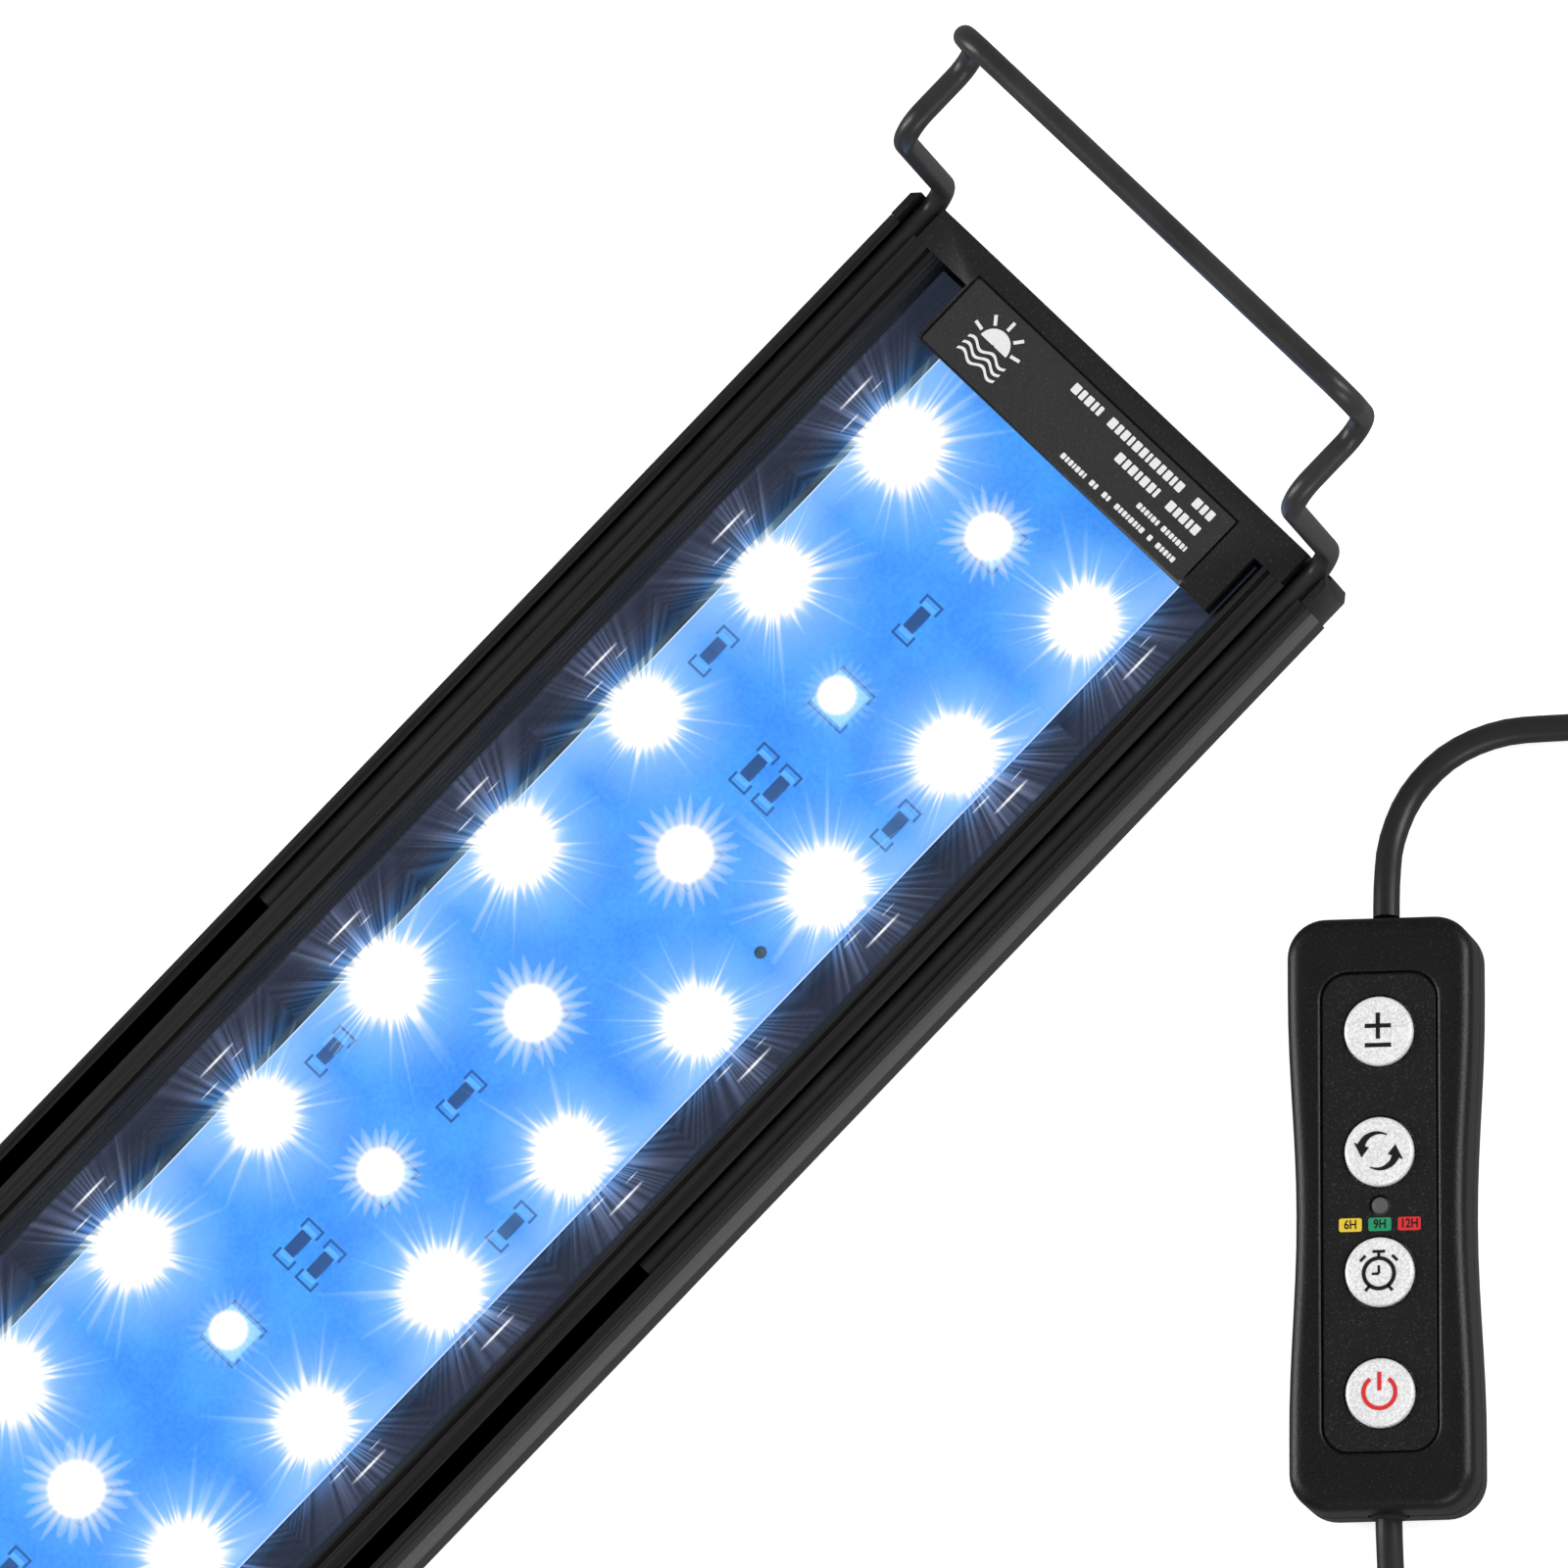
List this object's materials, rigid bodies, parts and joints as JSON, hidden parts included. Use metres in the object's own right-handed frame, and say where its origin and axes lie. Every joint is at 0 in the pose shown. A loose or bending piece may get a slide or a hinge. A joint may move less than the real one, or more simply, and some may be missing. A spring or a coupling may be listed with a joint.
{
  "type": "led aquarium light",
  "caption": "Flat black aluminium aquarium lamp with a lit board under a clear cover, sliding wire brackets at both ends and an inline key controller on its cord.",
  "frame": {"origin": "middle of the underside of the housing's back, without the free cords and what is on them", "axes": "+X along the housing, towards the end with the label plate; +Z out of the lit face, so the part lies on its back and is turned over for use above a tank; +Y away from the side where the controller lies"},
  "size_m": [0.4882, 0.1868, 0.0602],
  "materials": {
    "housing": "black anodised, fine lengthwise lines",
    "end_cap": "near-black moulded plastic",
    "label": "dark grey printed plate",
    "bracket": "satin black powder coat",
    "screw": "zinc plated",
    "gasket": "matt silicone",
    "cover": "clear gloss sheet",
    "board": "blue-lit solder mask",
    "thermal_pad": "grey soft pad",
    "lamp": "white lamp packages, lit",
    "lead_red": "red insulation",
    "lead_black": "black insulation",
    "controller": "fine-textured black plastic",
    "keypad": "black overlay",
    "button": "silver-white satin",
    "switch": "dark grey switch bodies",
    "lens": "smoked light pipe",
    "controller_board": "green solder mask",
    "cord": "satin black sheath",
    "plug_metal": "nickel plated"
  },
  "bodies": {
    "lamp": {"cap_screw_left_front": "screw", "cap_screw_left_rear": "screw", "cap_screw_right_front": "screw", "cap_screw_right_rear": "screw", "clear_cover": "cover", "controller_board": "controller_board", "controller_bottom_shell": "controller", "controller_top_shell": "controller", "cord_gland": "gasket", "cycle_switch": "switch", "end_cap_left": "end_cap", "end_cap_right": "end_cap", "end_gasket_left": "gasket", "end_gasket_right": "gasket", "front_lamp_row": "lamp", "housing_extrusion": "housing", "indicator_lens": "lens", "keypad_overlay": "keypad", "label_plate": "label", "lamp_cord_coil": "cord", "lamp_cord_run": "cord", "lamp_cord_tail": "cord", "lamp_side_bush": "gasket", "lead_wire_negative": "lead_black", "lead_wire_positive": "lead_red", "led_board": "board", "level_switch": "switch", "middle_lamp_row": "lamp", "plug_barrel": "plug_metal", "plug_body": "cord", "plug_cord_coil": "cord", "plug_cord_run": "cord", "plug_cord_tail": "cord", "plug_side_bush": "gasket", "power_switch": "switch", "rear_lamp_row": "lamp", "shell_screw_1": "screw", "shell_screw_2": "screw", "shell_screw_3": "screw", "shell_screw_4": "screw", "thermal_pad": "thermal_pad", "timer_switch": "switch"},
    "right_bracket": {"bracket_right": "bracket"},
    "left_bracket": {"bracket_left": "bracket"},
    "cycle_key": {"cycle_button": "button"},
    "level_key": {"level_button": "button"},
    "power_key": {"power_button": "button"},
    "timer_key": {"timer_button": "button"}
  },
  "joints": [
    {"name": "right_bracket_slide", "type": "slide", "parent": "lamp", "child": "right_bracket", "axis": [1, 0, 0], "range_m": [0, 0.075]},
    {"name": "left_bracket_slide", "type": "slide", "parent": "lamp", "child": "left_bracket", "axis": [-1, 0, 0], "range_m": [0, 0.075]},
    {"name": "cycle_press", "type": "slide", "parent": "lamp", "child": "cycle_key", "axis": [0, 0, -1], "range_m": [0, 0.0005], "stiffness_N_per_m": 400, "springref_m": -0.001},
    {"name": "level_press", "type": "slide", "parent": "lamp", "child": "level_key", "axis": [0, 0, -1], "range_m": [0, 0.0005], "stiffness_N_per_m": 400, "springref_m": -0.001},
    {"name": "power_press", "type": "slide", "parent": "lamp", "child": "power_key", "axis": [0, 0, -1], "range_m": [0, 0.0005], "stiffness_N_per_m": 400, "springref_m": -0.001},
    {"name": "timer_press", "type": "slide", "parent": "lamp", "child": "timer_key", "axis": [0, 0, -1], "range_m": [0, 0.0005], "stiffness_N_per_m": 400, "springref_m": -0.001}
  ]
}
